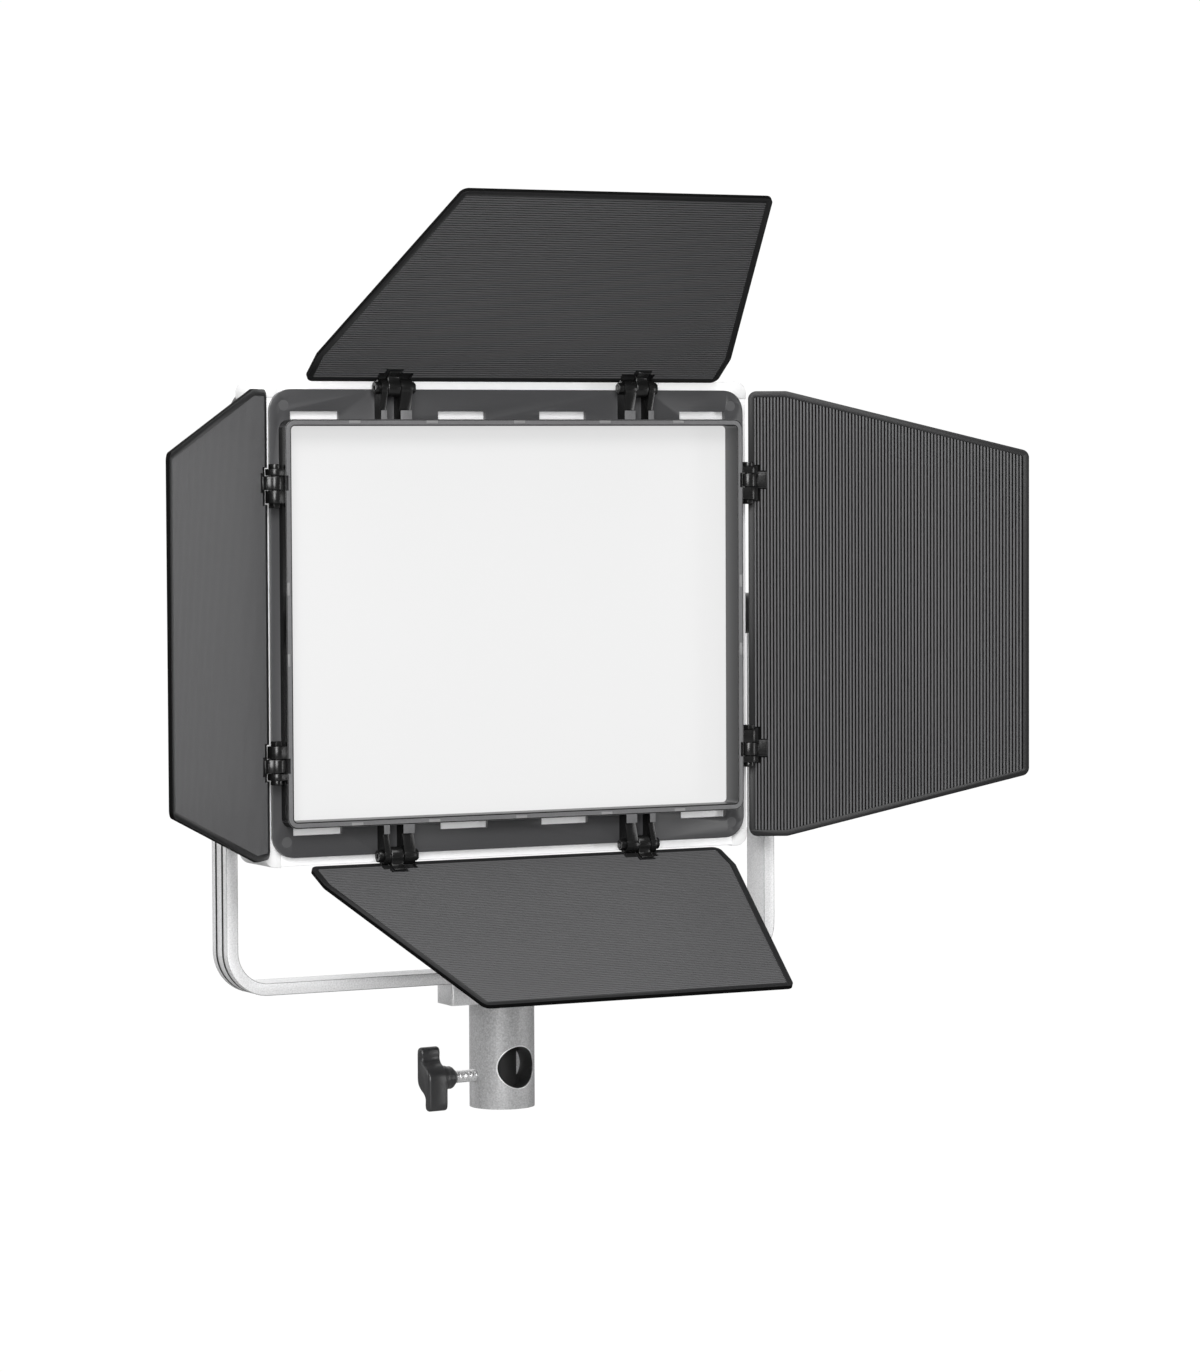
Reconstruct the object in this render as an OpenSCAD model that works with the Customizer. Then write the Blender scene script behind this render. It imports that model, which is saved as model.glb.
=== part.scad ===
// LED soft panel light with four barn doors, held in a U-shaped yoke.
// The origin is the mouth of the stand receiver, +Z up, the light shines towards -Y.

/* [Light head] */
// Width of the aluminium body
body_w = 256; // [240:1:300]
// Height of the aluminium body
body_h = 226; // [220:1:270]
// Depth of the extruded side rails
rail_d = 30; // [28:1:36]
// Wall thickness of the rails
rail_t = 2.2; // [1.6:0.1:3]
// Length of each corner cap along its rails
cap_l = 8; // [6:1:12]
// Depth from the front of the rails to the back of the rear cover
body_d = 50; // [48:1:60]

/* [Barn-door frame] */
// Width of the frame's flange
flange_w = 250; // [240:1:256]
// Height of the frame's flange
flange_h = 218; // [210:1:224]
// Thickness of the flange
flange_t = 2.6; // [2:0.1:3]
// Width of the light opening
open_w = 235.6; // [220:0.1:237]
// Height of the light opening
open_h = 183.8; // [170:0.1:190]
// Thickness of the rim around the opening
rim_t = 3; // [2:0.1:3.2]
// How far the rim stands in front of the flange
rim_d = 7.6; // [6:0.1:8]

/* [Barn doors] */
// Length of a door from its hinge axis
door_l = 137.4; // [90:0.1:150]
// Width of a door at its hinge
door_w = 217.4; // [200:0.1:218]
// Width of a door at its outer edge
door_tip_w = 157.8; // [120:0.1:200]
// Thickness of a door
door_t = 2; // [1.6:0.1:2.4]
// Angle of the right, top, left and bottom doors from lying flat open
door_angles = [27, 53, 49, 67];
// Radius of the hinge barrels
barrel_r = 4.3; // [3.8:0.1:4.4]
// Distance of each hinge from the middle of its side
hinge_at = 65.5; // [50:0.5:75]

/* [Yoke and stand receiver] */
// Outer width of the yoke
yoke_w = 292; // [286:1:330]
// Depth of the yoke bar
yoke_d = 17; // [14:0.5:20]
// Thickness of the yoke bar
yoke_t = 5.8; // [4:0.1:6]
// Outer radius of the yoke's bends
yoke_r = 21; // [14:1:30]
// Height of the tilt axis above the receiver's mouth
tilt_z = 234.5; // [230:0.5:260]
// Length of the receiver tube
tube_l = 50.5; // [46:0.5:60]
// Outer diameter of the receiver tube
tube_od = 31.4; // [28:0.2:34]
// Bore of the receiver tube, for a 5/8 inch spigot
tube_bore = 16.2; // [16.1:0.1:16.4]
// Diameter of the inspection window in the tube
window_d = 20; // [12:1:22]
// Turn of the receiver in its block, towards the right
receiver_turn = 5.5; // [0:0.5:30]

/* [Hidden] */
$fn = 64;
slop = 0.05;                      // running clearance on a radius
gap = 0.3;                        // clearance between faces that pass each other
head_y = -15.5;                   // front face of the flange, from the receiver axis
rail_y = 3;                       // front of the rails, behind the flange's front
cap_proud = 0.5;
cap_r = 6;
lip_w = (body_w - open_w) / 2 - 1.4;      // inward reach of the side rails' front lips
lip_h = (body_h - open_h) / 2 - 1.4;      // the same for the top and bottom rails
diffuser_y = 5;
diffuser_t = 2;
gasket_t = 1.2;
led_y = 24;
board_t = 1.6;
sink_t = 2.5;
fin_y = 40;
cover_y = rail_y + rail_d;
cover_back = rail_y + body_d;
cover_t = 2.5;
axis_f = 4.8;                     // hinge axis in front of the flange
side_reach = 125.1;               // hinge axis of the left and right doors
top_reach = 109.6;                // hinge axis of the top and bottom doors
leaf_o = 3.4;                     // door's inner face behind its hinge axis
border_w = 3;                     // smooth border round a door's recessed field
field_d = 1;
web_t = 0.8;                      // what is left of a door behind the hinge ears
tab_l = 9.6;                      // smooth patch of a door under each knuckle's tongue
tab_w = 8;
leaf_s = 0.4;                     // start of a door from its hinge axis
taper_s = 19;                     // where a door starts to narrow
knuckle_w = 6.4;
wide_ear = 5.8;
narrow_ear = 3;
pin_r = 1.5;
head_r = 2.9;
head_l = 2.3;
magnet_r = 2.5;
magnet_x = 118.2;
magnet_z = 101.5;
window_at = [26.7, 102.5];       // windows in the flange, from its middle
window_w = 25;
window_h = 3.8;
clip_w = 6;
clip_t = 1.6;
clip_across = [-85.5, -45.7, 0, 45.7, 85.5];
clip_up = [-16.5, 16.5];
bar_z = 61;                       // underside of the yoke bar
groove_y = 3.7;                   // grooves along the yoke, from its middle
groove_w = 2;
groove_d = 1.5;
groove_end = 16;                  // how far below the tilt axis they stop
bolt_x = 22;                      // bolts from the bar down into the block
bolt_r = 2.5;
block_w = 61;
block_r = 1.5;
handle_out = 44.2;                // outer end of the handle, from the receiver axis
wing_l = 10.6;
wing_y = 3.6;
wing_z = 15;
wing_r = 2.35;
knob_r = 14;
knob_l = 9;
washer_r = 10;
washer_t = 1;
slot_pitch = 5.5;                 // cooling slots in the rear cover
slot_h = 2.2;
slot_l = 80;
slot_z = 28;
block_z = tube_l;
bore_l = 47;
window_z = 20;
clamp_z = 15.7;
screw_r = 3;                      // M6 clamp screw
stud_r = 4;                       // M8 tilt studs
panel_z = -64;                    // middle of the rear controls, from the tilt axis

// ---- shared shapes ----

// Rounded rectangle with true arcs, centred
module round_rect(w, h, r) {
    square([w - 2 * r, h], center = true);
    square([w, h - 2 * r], center = true);
    for (x = [-1, 1], y = [-1, 1])
        translate([x * (w / 2 - r), y * (h / 2 - r)]) circle(r);
}

// Moves into the head's frame: origin on the tilt axis' height, at the flange's front
module in_head() { translate([0, head_y, tilt_z]) children(); }

// Extrudes an outline drawn in X and Z along Y, from y0 over t
module slab(y0, t) {
    translate([0, y0 + t, 0]) rotate([90, 0, 0]) linear_extrude(t) children();
}

// Cylinder along X from x0 over l
module rod_x(x0, l, r) { translate([x0, 0, 0]) rotate([0, 90, 0]) cylinder(h = l, r = r); }

// Cylinder along Y from y0 over l
module rod_y(y0, l, r) { translate([0, y0 + l, 0]) rotate([90, 0, 0]) cylinder(h = l, r = r); }

// Places children on one side of the head: x outwards, y back, z along the hinge axis
// side 0 is right, 1 top, 2 left, 3 bottom
module on_side(side) {
    reach = side % 2 == 0 ? side_reach : top_reach;
    in_head() rotate([0, -90 * side, 0]) translate([reach, -axis_f, 0]) children();
}

// Repeats children at both hinges of a side, mirrored, with z = 0 at the knuckle's middle
module at_hinges() {
    for (m = [0, 1]) mirror([0, 0, m]) translate([0, 0, hinge_at]) children();
}

// ---- yoke, receiver and clamp ----

module yoke_outline(inset) {
    h = 2 * (tilt_z - bar_z);
    translate([0, tilt_z])
        round_rect(yoke_w - 2 * inset, h - 2 * inset, yoke_r - inset);
}

module yoke_bracket() color("silver") difference() {
    union() {
        slab(-yoke_d / 2, yoke_d) difference() {
            yoke_outline(0);
            yoke_outline(yoke_t);
            translate([-yoke_w, tilt_z]) square([2 * yoke_w, 2 * tilt_z]);
        }
        for (x = [-yoke_w / 2, yoke_w / 2 - yoke_t])
            translate([0, 0, tilt_z]) rod_x(x, yoke_t, yoke_d / 2);
    }
    translate([0, 0, tilt_z]) rod_x(-yoke_w, 2 * yoke_w, stud_r + slop);
    for (y = [-groove_y, groove_y])
        slab(y - groove_w / 2, groove_w) difference() {
            yoke_outline(-1);
            yoke_outline(groove_d);
            translate([-yoke_w, tilt_z - groove_end]) square([2 * yoke_w, 2 * tilt_z]);
        }
    for (x = [-bolt_x, bolt_x])
        translate([x, 0, bar_z - 1]) cylinder(h = yoke_t + 2, r = bolt_r + slop);
}

module mounting_block() color("silver") difference() {
    translate([0, 0, block_z]) linear_extrude(bar_z - block_z) union() {
        round_rect(block_w, yoke_d, block_r);
        circle(d = tube_od);
    }
    for (x = [-bolt_x, bolt_x])
        translate([x, 0, block_z - 1]) cylinder(h = bar_z - block_z + 2, r = bolt_r + slop);
}

// Tube with a blind bore, a round window to the front and a threaded hole for the clamp
module stand_receiver() color("lightgray") rotate([0, 0, receiver_turn]) difference() {
    cylinder(h = block_z, d = tube_od, $fn = 96);
    translate([0, 0, -1]) cylinder(h = bore_l + 1, d = tube_bore);
    translate([0, 0, window_z]) rod_y(-tube_od, tube_od, window_d / 2);
    translate([0, 0, clamp_z]) rod_x(-tube_od, tube_od, screw_r + slop);
}

// Two countersunk bolts down through the bar into the block
module block_bolts() color("dimgray") for (x = [-bolt_x, bolt_x]) translate([x, 0, 0]) {
    translate([0, 0, block_z + 1]) cylinder(h = bar_z + yoke_t - block_z - 1, r = bolt_r);
    translate([0, 0, bar_z + yoke_t]) difference() {
        cylinder(h = 2.6, r = 4.4);
        translate([0, 0, 1.2]) cylinder(h = 2, r = 1.8, $fn = 6);
    }
}

module friction_washers() color("black") for (m = [0, 1]) mirror([m, 0, 0])
    translate([0, 0, tilt_z]) difference() {
        rod_x(yoke_w / 2 - yoke_t - washer_t, washer_t, washer_r);
        rod_x(yoke_w / 2 - yoke_t - 2, 3, stud_r + slop);
    }

// Nylon pad that the clamp screw pushes against the spigot
module clamp_pad() color("ivory") rotate([0, 0, receiver_turn]) translate([0, 0, clamp_z]) {
    rod_x(-10.4, 2, 2.7);
    rod_x(-11.6, 1.4, 1.2);
}

module clamp_screw() color("silver") rotate([0, 0, receiver_turn])
    translate([0, 0, clamp_z]) difference() {
        rod_x(-32, 21.5, screw_r);
        rod_x(-12, 3, 1.2 + slop);
    }

// Rounded bar across the handle: from (a0, b0) to (a1, b1) with end radius r
module wing(a, b0, b1, r) {
    translate([a - r, b0]) square([2 * r, b1 - b0]);
    for (b = [b0, b1]) translate([a, b]) circle(r);
}

// Z-shaped T-handle: the upper wing sits back, the lower one forward
module clamp_handle() color("#202020") rotate([0, 0, receiver_turn])
    translate([-handle_out, 0, clamp_z]) difference() {
        union() {
            rotate([90, 0, 90]) linear_extrude(wing_l) {
                wing(wing_y, 0, wing_z - wing_r, wing_r);
                wing(-wing_y, wing_r - wing_z, 0, wing_r);
                circle(wing_y + wing_r);
                polygon([[-wing_y - wing_r, 0], [wing_r - wing_y, -9], [wing_y, -4.2],
                         [wing_y + wing_r, 0], [wing_y - wing_r, 9], [-wing_y, 4.2]]);
            }
            rod_x(wing_l - 0.5, 2.8, 6);
            translate([wing_l + 2.2, 0, 0]) rotate([0, 90, 0])
                cylinder(h = handle_out - wing_l - 2.2 - 27, r1 = 5.5, r2 = 3.6);
        }
        rod_x(handle_out - 32, 9, screw_r);
    }

// ---- tilt locks ----

module tilt_knob(x) color("#202020") translate([x, 0, tilt_z]) difference() {
    union() {
        rotate([0, 90, 0]) linear_extrude(knob_l) difference() {
            circle(knob_r);
            for (a = [0 : 60 : 300]) rotate(a) translate([17.5, 0]) circle(6);
        }
        rod_x(-2.5, 3, 8);
    }
    rod_x(-3, 9, stud_r);
}

module tilt_knob_right() tilt_knob(yoke_w / 2 + 2.8);
module tilt_knob_left() rotate([0, 0, 180]) tilt_knob(yoke_w / 2 + 2.8);

module tilt_stud() color("silver") translate([0, 0, tilt_z])
    rod_x(body_w / 2 - 6.4, (yoke_w - body_w) / 2 + 15.2, stud_r);

module tilt_stud_right() tilt_stud();
module tilt_stud_left() rotate([0, 0, 180]) tilt_stud();

// ---- head: aluminium body ----

// One rail: outer wall and front lip, drawn as the top rail of length l at half height h
module rail(l, h, lip) difference() {
    union() {
        translate([-l / 2, rail_y, h - rail_t]) cube([l, rail_d, rail_t]);
        translate([-l / 2, rail_y, h - lip]) cube([l, 2, lip]);
        translate([-l / 2, cover_y - 6, h - rail_t - 4]) cube([l, 2, 5]);
    }
    for (y = [9, 15, 21]) translate([-l / 2 - 1, rail_y + y - 0.5, h - 0.4]) cube([l + 2, 1, 1]);
}

// Top rail, its lip cut back where the side rails' lips run past it
module cross_rail() difference() {
    rail(body_w - 2 * cap_l, body_h / 2, lip_h);
    for (m = [-1, 1]) translate([m * body_w / 2, 0, 0])
        cube([2 * lip_w + 0.2, 20, body_h - 2 * cap_l + 0.2], center = true);
}
module rail_top() color("silver") in_head() cross_rail();
module rail_bottom() color("silver") in_head() mirror([0, 0, 1]) cross_rail();

module side_rail() difference() {
    rotate([0, 90, 0]) rail(body_h - 2 * cap_l, body_w / 2, lip_w);
    translate([0, -head_y, 0]) rod_x(body_w / 2 - 10, 20, stud_r + gap);
}
module rail_right() color("silver") in_head() side_rail();
module rail_left() color("silver") in_head() mirror([1, 0, 0]) side_rail();

// Moulded corner pieces, a little proud of the rails
module corner_caps() color("gainsboro") in_head() intersection() {
    union() {
        slab(rail_y - 0.2, rail_d + 0.2) difference() {
            round_rect(body_w + 2 * cap_proud, body_h + 2 * cap_proud, cap_r);
            round_rect(body_w - 7, body_h - 7, 3);
        }
        slab(rail_y - 0.2, 2.2) difference() {
            round_rect(body_w, body_h, cap_r);
            square([body_w - 2 * lip_w, body_h - 2 * lip_h], center = true);
        }
        slab(cover_y - 2, 2) difference() {
            round_rect(body_w, body_h, cap_r);
            round_rect(body_w - 20, body_h - 20, 8);
        }
    }
    for (x = [-1, 1], z = [-1, 1])
        translate([x * body_w / 2, rail_d / 2, z * body_h / 2])
            cube([2 * cap_l, 3 * rail_d, 2 * cap_l], center = true);
}

module corner_screws() color("dimgray") in_head()
    for (x = [-1, 1], z = [-1, 1])
        translate([x * (body_w / 2 - 4), 0, z * (body_h / 2 - 4)]) difference() {
            rod_y(cover_y, 1.2, 2);
            rod_y(cover_y + 0.6, 1, 0.9);
        }

// Blocks inside the side rails that the tilt studs screw into
module pivot_bosses() color("gray") for (m = [0, 1]) mirror([m, 0, 0])
    translate([0, 0, tilt_z]) difference() {
        translate([body_w / 2 - rail_t - 4.4, -9, -12]) cube([4.4, 18, 24]);
        rod_x(body_w / 2 - 20, 30, stud_r + slop);
    }

module pivot_spacers() color("#202020") for (m = [0, 1]) mirror([m, 0, 0])
    translate([0, 0, tilt_z]) difference() {
        rod_x(body_w / 2, yoke_w / 2 - yoke_t - washer_t - gap - body_w / 2, washer_r);
        rod_x(body_w / 2 - 1, 20, stud_r + gap);
    }

// ---- head: rear cover and what it holds ----

cover_w = body_w - 6;
cover_h = body_h - 6;

module rear_cover() color("#262626") in_head() difference() {
    union() {
        slab(cover_y, cover_back - cover_y - 4) round_rect(cover_w, cover_h, 12);
        slab(cover_back - 4, 2) round_rect(cover_w - 6, cover_h - 6, 10);
        slab(cover_back - 2, 2) round_rect(cover_w - 14, cover_h - 14, 8);
    }
    slab(cover_y - 1, body_d - rail_d - 4) round_rect(cover_w - 6, cover_h - 6, 9);
    slab(cover_y, body_d - rail_d - cover_t) round_rect(cover_w - 20, cover_h - 20, 5);
    for (m = [-1, 1], i = [0 : 11])                           // cooling slots
        translate([m * 62 - slot_l / 2, cover_back - 5, slot_z + i * slot_pitch])
            cube([slot_l, 10, slot_h]);
    translate([-58, cover_back - 5, panel_z - 22]) cube([116, 10, 44]);
    at_cover_screws() rod_y(cover_back - 2, 3, 1.9 + slop);
}

module at_cover_screws()
    for (x = [-1, 1], z = [-1, 1])
        translate([x * (cover_w / 2 - 12), 0, z * (cover_h / 2 - 12)]) children();

module cover_screws() color("dimgray") in_head() at_cover_screws() difference() {
    rod_y(cover_back - 2, 1.2, 1.9);
    rod_y(cover_back - 1.4, 1, 0.8);
}

module heat_sink() color("darkgray") in_head() {
    slab(led_y + board_t, sink_t) square([236, 196], center = true);
    for (i = [-19 : 19])
        translate([i * 6 - 0.6, led_y + board_t + sink_t, -92])
            cube([1.2, fin_y - led_y - board_t - sink_t, 184]);
}

module led_board() color("white") in_head() slab(led_y, board_t) square([234, 184], center = true);

module led_chips() color("khaki") in_head()
    for (i = [0 : 11], j = [0 : 8])
        translate([(i - 5.5) * 19 - 1.75, led_y - 0.8, (j - 4) * 19.5 - 1.75]) cube([3.5, 0.8, 3.5]);

// White walls that mix the light between the board and the diffuser
module light_box() color("white") in_head()
    slab(diffuser_y + diffuser_t + gasket_t, led_y - diffuser_y - diffuser_t - gasket_t) difference() {
        square([238, 190], center = true);
        square([234.4, 186.4], center = true);
    }

module diffuser() color("whitesmoke") in_head()
    slab(diffuser_y, diffuser_t) round_rect(242, 191, 2);

module diffuser_gasket() color("#303030") in_head()
    slab(diffuser_y + diffuser_t, gasket_t) difference() {
        square([242, 191], center = true);
        square([236, 187], center = true);
    }

module driver_board() color("darkgreen") in_head() slab(43, board_t)
    difference() {
        translate([0, 48]) square([150, 60], center = true);
        for (x = [-70, 70], z = [22, 74]) translate([x, z]) circle(1.6);
    }

module driver_parts() color("#303030") in_head() {
    for (x = [-50, -30, -10]) translate([x, 0, 55]) rod_y(43 + board_t, 5, 6);
    translate([10, 43 + board_t, 40]) cube([30, 4, 20]);
    translate([48, 43 + board_t, 34]) cube([16, 5, 28]);
}

// ---- head: rear controls ----

face_y = cover_back - 1;

module control_panel() color("#181818") in_head() difference() {
    slab(face_y - 2, 2.4) translate([0, panel_z]) round_rect(115.4, 43.4, 2);
    slab(face_y - 5, 10) translate([-32, panel_z + 3]) square([42, 24], center = true);
    for (x = [12, 42]) translate([x, 0, panel_z + 5]) rod_y(face_y - 5, 10, 3 + gap);
    for (x = [-45, -32, -19]) translate([x, 0, panel_z - 15]) rod_y(face_y - 5, 10, 3 + gap);
    slab(face_y - 5, 10) translate([14, panel_z - 14.5]) square([15, 9], center = true);
    translate([42, 0, panel_z - 14.5]) rod_y(face_y - 5, 10, 4);
}

module display_window() color("#0a0a14") in_head()
    slab(face_y - 2, 2.2) translate([-32, panel_z + 3]) square([42, 24], center = true);

// Rotary encoders behind the panel, with bushes that the dial shafts turn in
module encoders() color("gray") in_head()
    for (x = [12, 42]) translate([x, 0, panel_z + 5]) difference() {
        translate([-6, face_y - 7, -6]) cube([12, 4.6, 12]);
        rod_y(face_y - 6, 10, 2 + slop);
    }

module dial(x) in_head() translate([x, 0, panel_z + 5]) {
    rod_y(face_y + 0.9, 9, 9.5);
    rod_y(face_y - 5.6, 7, 2);
}
module dial_brightness() color("#202020") dial(12);
module dial_colour() color("#202020") dial(42);

module button(x) in_head() translate([x, 0, panel_z - 15]) rod_y(face_y - 1.2, 3.2, 3);
module button_mode() color("#303030") button(-45);
module button_menu() color("#303030") button(-32);
module button_back() color("#303030") button(-19);

// Rocker whose ends dip by turns about a pivot across its middle
module power_switch() color("#101010") in_head() translate([14, face_y - 1.4, panel_z - 14.5])
    rotate([0, 0, -7]) {
        translate([-6.6, -1, -3.9]) cube([13.2, 3, 7.8]);
        translate([0, 0, -3.9]) cylinder(h = 7.8, r = 1.4);
    }

module power_inlet() color("#202020") in_head() translate([42, 0, panel_z - 14.5]) difference() {
    rod_y(face_y - 9, 9.4, 4);
    rod_y(face_y - 7, 9, 2.75);
}

// ---- barn-door frame ----

// Ear outline on one side: x outwards from the hinge axis, y back
module ear_outline(root) {
    circle(barrel_r);
    if (root > 8)
        polygon([[-root, axis_f], [-root, axis_f - rim_d], [4.2 - root, axis_f - rim_d],
                 [4.2 - root, axis_f - rim_d + 1.6], [-1.9, -3.86], [0, 0], [-0.7, axis_f]]);
    else
        polygon([[-root, axis_f], [-root, axis_f - rim_d], [-1.6, -4], [0, 0], [-0.7, axis_f]]);
}

module ears(side) {
    root = side % 2 == 0 ? side_reach - open_w / 2 - rim_t : top_reach - open_h / 2 - rim_t;
    at_hinges() difference() {
        union() {
            translate([0, 0, -knuckle_w / 2 - gap - wide_ear])
                linear_extrude(wide_ear) ear_outline(root);
            translate([0, 0, knuckle_w / 2 + gap]) linear_extrude(narrow_ear) ear_outline(root);
        }
        translate([0, 0, -12]) cylinder(h = 24, r = pin_r + slop);
    }
}

module magnet_places() {
    for (x = [-1, 1], z = [-1, 1]) translate([x * magnet_x, z * magnet_z]) children();
}

// Pockets for the spring clips in the rim's front
module clip_places() {
    z = open_h / 2 + rim_t - 1.1;
    x = open_w / 2 + rim_t - 1.1;
    for (at = clip_across, m = [-1, 1])
        translate([at, m * z]) square([clip_w, clip_t], center = true);
    for (at = clip_up, m = [-1, 1])
        translate([m * x, at]) square([clip_t, clip_w], center = true);
}

module frame_windows() {
    for (x = [-1, 1], z = [-1, 1], at = window_at)
        translate([x * at, z * (open_h / 2 + rim_t + window_h / 2)])
            square([window_w, window_h], center = true);
}

// Flange, rim, skirt into the body and sixteen hinge ears, moulded as one
module door_frame() color("#2b2b2b") {
    difference() {
        in_head() {
            slab(0, flange_t) difference() {
                round_rect(flange_w, flange_h, 10.5);
                round_rect(open_w, open_h, 2);
                frame_windows();
                magnet_places() circle(magnet_r);
            }
            slab(-rim_d, rim_d + 0.5) difference() {
                round_rect(open_w + 2 * rim_t, open_h + 2 * rim_t, 5);
                round_rect(open_w, open_h, 2);
                clip_places();
            }
            slab(0, diffuser_y - 0.4) difference() {
                round_rect(open_w + 2, open_h + 2, 3);
                round_rect(open_w, open_h, 2);
            }
        }
        for (side = [0, 2]) on_side(side) at_hinges()             // room for the knuckles
            translate([-5.8, -6, -knuckle_w / 2 - gap])
                cube([6, 6 + axis_f, knuckle_w + 2 * gap]);
    }
    for (side = [0 : 3]) on_side(side) ears(side);
}

module frame_magnets() color("#3a3a3a") in_head()
    slab(0, flange_t) magnet_places() circle(magnet_r);

module rim_clips() color("#9a9a9a") in_head() slab(-rim_d, rim_d - 0.5) clip_places();

module hinge_screws() color("#181818") for (side = [0 : 3]) on_side(side) at_hinges() {
    outer = knuckle_w / 2 + gap + narrow_ear;
    inner = knuckle_w / 2 + gap + wide_ear;
    translate([0, 0, -inner - 2.4]) cylinder(h = inner + outer + 2.4, r = pin_r);
    translate([0, 0, outer]) difference() {
        cylinder(h = head_l, r = head_r);
        translate([0, 0, 1.2]) cylinder(h = 2, r = 1.2, $fn = 6);
    }
}

module hinge_nuts() color("#181818") for (side = [0 : 3]) on_side(side) at_hinges()
    translate([0, 0, -knuckle_w / 2 - gap - wide_ear - 2.3]) difference() {
        cylinder(h = 2.3, r = head_r, $fn = 6);
        translate([0, 0, -1]) cylinder(h = 5, r = pin_r + slop);
    }

// ---- barn doors ----

// Door outline: x outwards from the hinge axis, y along it
module leaf_outline(inset) offset(r = 4 - inset, $fn = 48) offset(delta = -4)
    polygon([[leaf_s, -door_w / 2], [taper_s, -door_w / 2], [door_l, -door_tip_w / 2],
             [door_l, door_tip_w / 2], [taper_s, door_w / 2], [leaf_s, door_w / 2]]);

// Leaf with a raised border on its inner face and pockets behind the hinge ears
module leaf(side) on_side(side) rotate([0, 0, -door_angles[side]])
    translate([0, leaf_o + door_t, 0]) rotate([90, 0, 0]) difference() {
        linear_extrude(door_t) leaf_outline(0);
        translate([0, 0, door_t - field_d]) linear_extrude(2) difference() {
            leaf_outline(border_w);
            for (m = [-1, 1]) translate([0, m * hinge_at - tab_w / 2]) square([tab_l, tab_w]);
        }
        for (m = [-1, 1]) translate([-1, m * hinge_at + (m > 0 ? -10 : -7), web_t])
            cube([6, 17, 5]);
    }

// Barrel and tongue that carry a leaf
module knuckles(side) on_side(side) rotate([0, 0, -door_angles[side]]) at_hinges()
    translate([0, 0, -knuckle_w / 2]) difference() {
        linear_extrude(knuckle_w) {
            circle(barrel_r);
            polygon([[0, leaf_o], [0, -4.2], [3.4, -2.4], [5, 2.4], [9, 2.4], [9, leaf_o]]);
        }
        translate([0, 0, -1]) cylinder(h = knuckle_w + 2, r = pin_r + slop);
    }

module door_right() color("#3c3c3c") leaf(0);
module door_top() color("#3c3c3c") leaf(1);
module door_left() color("#3c3c3c") leaf(2);
module door_bottom() color("#3c3c3c") leaf(3);
module knuckles_right() color("#202020") knuckles(0);
module knuckles_top() color("#202020") knuckles(1);
module knuckles_left() color("#202020") knuckles(2);
module knuckles_bottom() color("#202020") knuckles(3);

yoke_bracket();
mounting_block();
stand_receiver();
block_bolts();
friction_washers();
clamp_pad();
clamp_screw();
clamp_handle();
tilt_knob_left();
tilt_knob_right();
tilt_stud_left();
tilt_stud_right();
rail_top();
rail_bottom();
rail_left();
rail_right();
corner_caps();
corner_screws();
pivot_bosses();
pivot_spacers();
rear_cover();
cover_screws();
heat_sink();
led_board();
led_chips();
light_box();
diffuser();
diffuser_gasket();
driver_board();
driver_parts();
control_panel();
display_window();
encoders();
dial_brightness();
dial_colour();
button_mode();
button_menu();
button_back();
power_switch();
power_inlet();
door_frame();
frame_magnets();
rim_clips();
hinge_screws();
hinge_nuts();
door_right();
door_top();
door_left();
door_bottom();
knuckles_right();
knuckles_top();
knuckles_left();
knuckles_bottom();
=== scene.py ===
"""LED soft panel light with four ribbed barn doors, tilting in a silver yoke.

Sections follow the light as it is put together: stand fitting, yoke, head, doors.
"""

import math

import bmesh
import bpy
from mathutils import Matrix, Vector


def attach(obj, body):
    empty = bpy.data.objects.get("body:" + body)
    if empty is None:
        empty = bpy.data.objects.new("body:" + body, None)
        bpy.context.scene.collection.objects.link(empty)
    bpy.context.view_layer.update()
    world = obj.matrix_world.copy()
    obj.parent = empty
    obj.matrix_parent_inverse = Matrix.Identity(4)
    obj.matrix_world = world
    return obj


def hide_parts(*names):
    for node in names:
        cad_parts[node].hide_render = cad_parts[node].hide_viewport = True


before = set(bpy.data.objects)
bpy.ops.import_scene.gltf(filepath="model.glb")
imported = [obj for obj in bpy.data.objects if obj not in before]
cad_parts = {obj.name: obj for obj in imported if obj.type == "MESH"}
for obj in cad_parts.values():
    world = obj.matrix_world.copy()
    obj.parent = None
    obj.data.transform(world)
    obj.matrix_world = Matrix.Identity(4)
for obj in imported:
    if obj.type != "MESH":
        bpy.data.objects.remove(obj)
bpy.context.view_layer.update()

# ---- camera and studio ----
# A long lens at the height of the head, a pale floor far below, and a white backdrop
# behind; soft boxes stand at the camera, above it, overhead and at the left and right.
head_centre = Vector((0, -0.0155, 0.2345))
camera_turn, camera_rise, camera_roll = math.radians(26.26), math.radians(1.96), math.radians(-0.3)
camera_distance = 2.170
right = Vector((math.cos(camera_turn), -math.sin(camera_turn), 0))
back = Vector((-math.sin(camera_turn) * math.cos(camera_rise),
               -math.cos(camera_turn) * math.cos(camera_rise), math.sin(camera_rise)))
up = back.cross(right)
eye = head_centre + back * camera_distance
aim_right, aim_down = 0.0409, 0.0320
aim = head_centre + right * aim_right - up * aim_down
look = (eye - aim).normalized()
across = up.cross(look).normalized()
upright = look.cross(across)
level = Matrix((across, upright, look)).transposed().to_4x4()
camera_data = bpy.data.cameras.new("studio_camera")
camera_data.sensor_fit = "HORIZONTAL"
camera_data.sensor_width = 36
camera_data.lens = 136.74
camera_data.clip_start, camera_data.clip_end = 0.05, 60
camera = bpy.data.objects.new("studio_camera", camera_data)
camera.matrix_world = Matrix.Translation(eye) @ level @ Matrix.Rotation(camera_roll, 4, "Z")
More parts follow.
